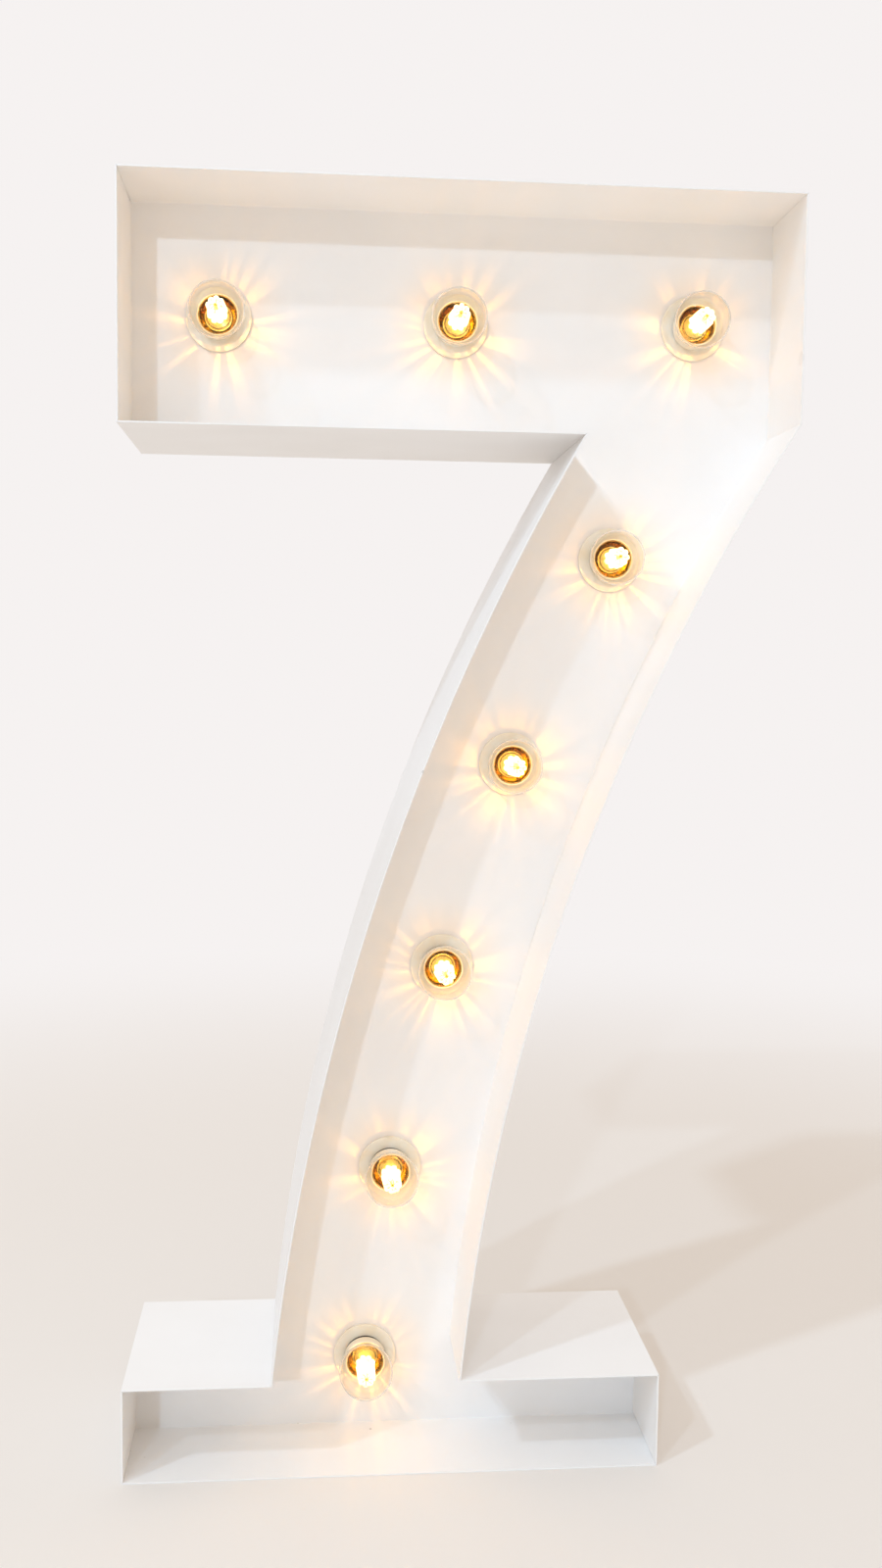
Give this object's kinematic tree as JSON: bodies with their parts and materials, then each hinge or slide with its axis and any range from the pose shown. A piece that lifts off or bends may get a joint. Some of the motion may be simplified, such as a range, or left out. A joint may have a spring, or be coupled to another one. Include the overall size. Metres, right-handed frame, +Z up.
{
  "type": "marquee number",
  "caption": "Free-standing sheet metal marquee numeral seven with a deep open rim and clear globe lamps on a recessed face.",
  "frame": {"origin": "on the floor, under the middle of the numeral's bounding box", "axes": "+Z up, the open front of the numeral faces -Y, +X to the right as seen from the front"},
  "size_m": [0.622, 0.195, 1.2],
  "materials": {
    "white_paint": "satin white powder coat on sheet steel",
    "cover_paint": "satin white powder coat on sheet steel",
    "holder_plastic": "satin white moulded plastic",
    "brass_shell": "bright pressed brass",
    "nickel_cap": "nickel-plated pressed brass",
    "clear_glass": "clear blown glass",
    "filament": "glowing phosphor coat, lit",
    "black_plastic": "fine textured black",
    "rocker_plastic": "satin black",
    "grey_plastic": "matt grey",
    "cable_sheath": "matt white sheath"
  },
  "bodies": {
    "letter": {"return_top": "white_paint", "return_right": "white_paint", "return_curve_outer": "white_paint", "foot_top_right": "white_paint", "foot_end_right": "white_paint", "foot_bottom": "white_paint", "foot_end_left": "white_paint", "foot_top_left": "white_paint", "return_curve_inner": "white_paint", "bar_underside": "white_paint", "return_left": "white_paint", "face_panel": "white_paint", "rear_cover": "cover_paint", "lampholder_1": "holder_plastic", "lampholder_2": "holder_plastic", "lampholder_3": "holder_plastic", "lampholder_4": "holder_plastic", "lampholder_5": "holder_plastic", "lampholder_6": "holder_plastic", "lampholder_7": "holder_plastic", "lampholder_8": "holder_plastic", "screw_shell_1": "brass_shell", "screw_shell_2": "brass_shell", "screw_shell_3": "brass_shell", "screw_shell_4": "brass_shell", "screw_shell_5": "brass_shell", "screw_shell_6": "brass_shell", "screw_shell_7": "brass_shell", "screw_shell_8": "brass_shell", "power_inlet": "black_plastic", "terminal_box": "grey_plastic", "terminal_lid": "grey_plastic", "lamp_lead_main": "cable_sheath", "lamp_lead_foot": "cable_sheath", "inlet_lead": "cable_sheath"},
    "bulb_1_base": {"bulb_cap_1": "nickel_cap"},
    "bulb_1_glass": {"bulb_globe_1": "clear_glass", "bulb_filament_1": "filament"},
    "bulb_2_base": {"bulb_cap_2": "nickel_cap"},
    "bulb_2_glass": {"bulb_globe_2": "clear_glass", "bulb_filament_2": "filament"},
    "bulb_3_base": {"bulb_cap_3": "nickel_cap"},
    "bulb_3_glass": {"bulb_globe_3": "clear_glass", "bulb_filament_3": "filament"},
    "bulb_4_base": {"bulb_cap_4": "nickel_cap"},
    "bulb_4_glass": {"bulb_globe_4": "clear_glass", "bulb_filament_4": "filament"},
    "bulb_5_base": {"bulb_cap_5": "nickel_cap"},
    "bulb_5_glass": {"bulb_globe_5": "clear_glass", "bulb_filament_5": "filament"},
    "bulb_6_base": {"bulb_cap_6": "nickel_cap"},
    "bulb_6_glass": {"bulb_globe_6": "clear_glass", "bulb_filament_6": "filament"},
    "bulb_7_base": {"bulb_cap_7": "nickel_cap"},
    "bulb_7_glass": {"bulb_globe_7": "clear_glass", "bulb_filament_7": "filament"},
    "bulb_8_base": {"bulb_cap_8": "nickel_cap"},
    "bulb_8_glass": {"bulb_globe_8": "clear_glass", "bulb_filament_8": "filament"},
    "rocker": {"switch_rocker": "rocker_plastic"}
  },
  "joints": [
    {"name": "bulb_1_advance", "type": "slide", "parent": "letter", "child": "bulb_1_base", "axis": [0, -1, 0], "range_m": [0, 0.00998]},
    {"name": "bulb_1_turn", "type": "hinge", "parent": "bulb_1_base", "child": "bulb_1_glass", "pos_m": [-0.22703, -0.04, 1.0926], "axis": [0, -1, 0], "range_deg": [0, 990]},
    {"name": "bulb_2_advance", "type": "slide", "parent": "letter", "child": "bulb_2_base", "axis": [0, -1, 0], "range_m": [0, 0.00998]},
    {"name": "bulb_2_turn", "type": "hinge", "parent": "bulb_2_base", "child": "bulb_2_glass", "pos_m": [-0.00124, -0.04, 1.0932], "axis": [0, -1, 0], "range_deg": [0, 990]},
    {"name": "bulb_3_advance", "type": "slide", "parent": "letter", "child": "bulb_3_base", "axis": [0, -1, 0], "range_m": [0, 0.00998]},
    {"name": "bulb_3_turn", "type": "hinge", "parent": "bulb_3_base", "child": "bulb_3_glass", "pos_m": [0.23076, -0.04, 1.0974], "axis": [0, -1, 0], "range_deg": [0, 990]},
    {"name": "bulb_4_advance", "type": "slide", "parent": "letter", "child": "bulb_4_base", "axis": [0, -1, 0], "range_m": [0, 0.00998]},
    {"name": "bulb_4_turn", "type": "hinge", "parent": "bulb_4_base", "child": "bulb_4_glass", "pos_m": [0.15341, -0.04, 0.87204], "axis": [0, -1, 0], "range_deg": [0, 990]},
    {"name": "bulb_5_advance", "type": "slide", "parent": "letter", "child": "bulb_5_base", "axis": [0, -1, 0], "range_m": [0, 0.00998]},
    {"name": "bulb_5_turn", "type": "hinge", "parent": "bulb_5_base", "child": "bulb_5_glass", "pos_m": [0.05817, -0.04, 0.67104], "axis": [0, -1, 0], "range_deg": [0, 990]},
    {"name": "bulb_6_advance", "type": "slide", "parent": "letter", "child": "bulb_6_base", "axis": [0, -1, 0], "range_m": [0, 0.00998]},
    {"name": "bulb_6_turn", "type": "hinge", "parent": "bulb_6_base", "child": "bulb_6_glass", "pos_m": [-0.00736, -0.04, 0.47016], "axis": [0, -1, 0], "range_deg": [0, 990]},
    {"name": "bulb_7_advance", "type": "slide", "parent": "letter", "child": "bulb_7_base", "axis": [0, -1, 0], "range_m": [0, 0.00998]},
    {"name": "bulb_7_turn", "type": "hinge", "parent": "bulb_7_base", "child": "bulb_7_glass", "pos_m": [-0.05723, -0.04, 0.26616], "axis": [0, -1, 0], "range_deg": [0, 990]},
    {"name": "bulb_8_advance", "type": "slide", "parent": "letter", "child": "bulb_8_base", "axis": [0, -1, 0], "range_m": [0, 0.00998]},
    {"name": "bulb_8_turn", "type": "hinge", "parent": "bulb_8_base", "child": "bulb_8_glass", "pos_m": [-0.08075, -0.04, 0.07308], "axis": [0, -1, 0], "range_deg": [0, 990]},
    {"name": "switch_rock", "type": "hinge", "parent": "letter", "child": "rocker", "pos_m": [-0.07919, 0.0903, 0.14], "axis": [1, 0, 0], "range_deg": [0, 20]}
  ],
  "couplings": [
    {"joint": "bulb_1_turn", "follows": "bulb_1_advance", "rad_per_m": 1730.9},
    {"joint": "bulb_2_turn", "follows": "bulb_2_advance", "rad_per_m": 1730.9},
    {"joint": "bulb_3_turn", "follows": "bulb_3_advance", "rad_per_m": 1730.9},
    {"joint": "bulb_4_turn", "follows": "bulb_4_advance", "rad_per_m": 1730.9},
    {"joint": "bulb_5_turn", "follows": "bulb_5_advance", "rad_per_m": 1730.9},
    {"joint": "bulb_6_turn", "follows": "bulb_6_advance", "rad_per_m": 1730.9},
    {"joint": "bulb_7_turn", "follows": "bulb_7_advance", "rad_per_m": 1730.9},
    {"joint": "bulb_8_turn", "follows": "bulb_8_advance", "rad_per_m": 1730.9}
  ]
}
